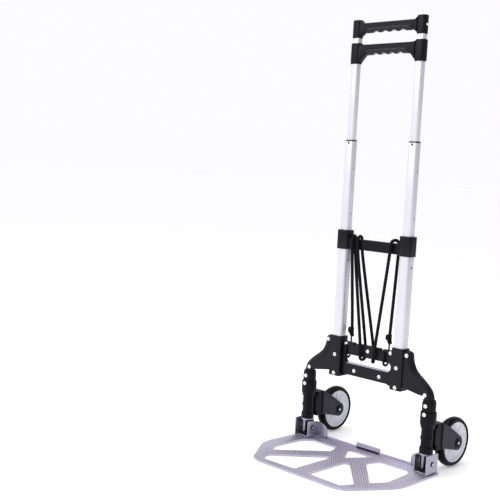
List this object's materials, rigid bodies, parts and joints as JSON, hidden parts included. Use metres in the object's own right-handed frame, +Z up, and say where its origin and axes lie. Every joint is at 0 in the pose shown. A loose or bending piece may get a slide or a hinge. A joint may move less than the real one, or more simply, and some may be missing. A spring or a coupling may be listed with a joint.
{
  "type": "hand truck",
  "caption": "Folding hand truck with telescoping twin masts, squeeze-release grip, hinged ribbed toe plate, fold-in wheels on forks and a laced elastic cord with hooks.",
  "frame": {"origin": "on the floor, under the middle of the truck's width and depth", "axes": "+Z up the masts, +X across the truck, the toe plate reaches towards -Y"},
  "size_m": [0.3978, 0.399, 1.006],
  "materials": {
    "mast_tubes": "pale anodised, satin",
    "plate_metal": "extruded ribbed sheet, satin",
    "coated_steel": "black powder coat",
    "black_plastic": "moulded black",
    "grip_plastic": "fine moulded texture",
    "fork_plastic": "moulded charcoal",
    "rim_plastic": "moulded light grey",
    "tyre": "smooth solid tyre",
    "steel": "zinc plated",
    "rivet_metal": "bright rivet head",
    "cord_fabric": "braided black sheath"
  },
  "bodies": {
    "frame": {"lower_tube_left": "mast_tubes", "lower_tube_right": "mast_tubes", "collar_left": "black_plastic", "collar_right": "black_plastic", "bracket_left": "coated_steel", "bracket_right": "coated_steel", "bracket_rivet_left": "rivet_metal", "bracket_rivet_right": "rivet_metal", "shoulder_left": "coated_steel", "shoulder_right": "coated_steel", "shoulder_rivet_left": "rivet_metal", "shoulder_rivet_right": "rivet_metal", "upper_sleeve_left": "black_plastic", "upper_sleeve_right": "black_plastic", "lower_sleeve_left": "black_plastic", "lower_sleeve_right": "black_plastic", "leg_tube_left": "coated_steel", "leg_tube_right": "coated_steel", "leg_collar_left": "black_plastic", "leg_collar_right": "black_plastic", "leg_foot_left": "black_plastic", "leg_foot_right": "black_plastic", "foot_clip_left": "steel", "foot_clip_right": "steel", "upper_leg_rivet_left": "rivet_metal", "upper_leg_rivet_right": "rivet_metal", "lower_leg_rivet_left": "rivet_metal", "lower_leg_rivet_right": "rivet_metal", "middle_crossbar": "black_plastic", "cross_frame": "coated_steel", "bungee_cord": "cord_fabric", "ferrule_left": "black_plastic", "ferrule_right": "black_plastic", "hook_left": "steel", "hook_right": "steel"},
    "mid_stage": {"mid_tube_left": "mast_tubes", "mid_tube_right": "mast_tubes", "mid_rim_left": "black_plastic", "mid_rim_right": "black_plastic"},
    "upper_stage": {"upper_tube_left": "mast_tubes", "upper_tube_right": "mast_tubes", "top_handle": "grip_plastic"},
    "release_grip": {"release_handle": "grip_plastic", "release_rod_left": "steel", "release_rod_right": "steel"},
    "toe_plate": {"toe_plate": "plate_metal", "hinge_yoke_left": "plate_metal", "hinge_yoke_right": "plate_metal", "hinge_pin_left": "steel", "hinge_pin_right": "steel"},
    "fork_left": {"wheel_fork_left": "fork_plastic", "axle_left": "steel"},
    "wheel_left": {"tyre_left": "tyre", "rim_left": "rim_plastic", "bearing_left": "steel"},
    "fork_right": {"wheel_fork_right": "fork_plastic", "axle_right": "steel"},
    "wheel_right": {"tyre_right": "tyre", "rim_right": "rim_plastic", "bearing_right": "steel"}
  },
  "joints": [
    {"name": "toe_plate_hinge", "type": "hinge", "parent": "frame", "child": "toe_plate", "pos_m": [0, 0.0395, 0.027], "axis": [-1, 0, 0], "range_deg": [0, 90]},
    {"name": "fork_swing_right", "type": "hinge", "parent": "frame", "child": "fork_right", "pos_m": [0.174, 0.0395, 0.084], "axis": [0, 0, 1], "range_deg": [0, 90]},
    {"name": "fork_swing_left", "type": "hinge", "parent": "frame", "child": "fork_left", "pos_m": [-0.174, 0.0395, 0.084], "axis": [0, 0, 1], "range_deg": [-90, 0]},
    {"name": "wheel_spin_right", "type": "hinge", "parent": "fork_right", "child": "wheel_right", "pos_m": [0.174, 0.1425, 0.057], "axis": [1, 0, 0], "continuous": true},
    {"name": "wheel_spin_left", "type": "hinge", "parent": "fork_left", "child": "wheel_left", "pos_m": [-0.174, 0.1425, 0.057], "axis": [1, 0, 0], "continuous": true},
    {"name": "mid_stage_slide", "type": "slide", "parent": "frame", "child": "mid_stage", "axis": [0, 0, 1], "range_m": [-0.197, 0]},
    {"name": "upper_stage_slide", "type": "slide", "parent": "mid_stage", "child": "upper_stage", "axis": [0, 0, 1], "range_m": [-0.174, 0]},
    {"name": "release_squeeze", "type": "slide", "parent": "upper_stage", "child": "release_grip", "axis": [0, 0, 1], "range_m": [0, 0.008], "stiffness_N_per_m": 800, "springref_m": -0.01}
  ],
  "couplings": [
    {"joint": "fork_swing_right", "follows": "toe_plate_hinge", "ratio": 1},
    {"joint": "fork_swing_left", "follows": "toe_plate_hinge", "ratio": -1}
  ]
}
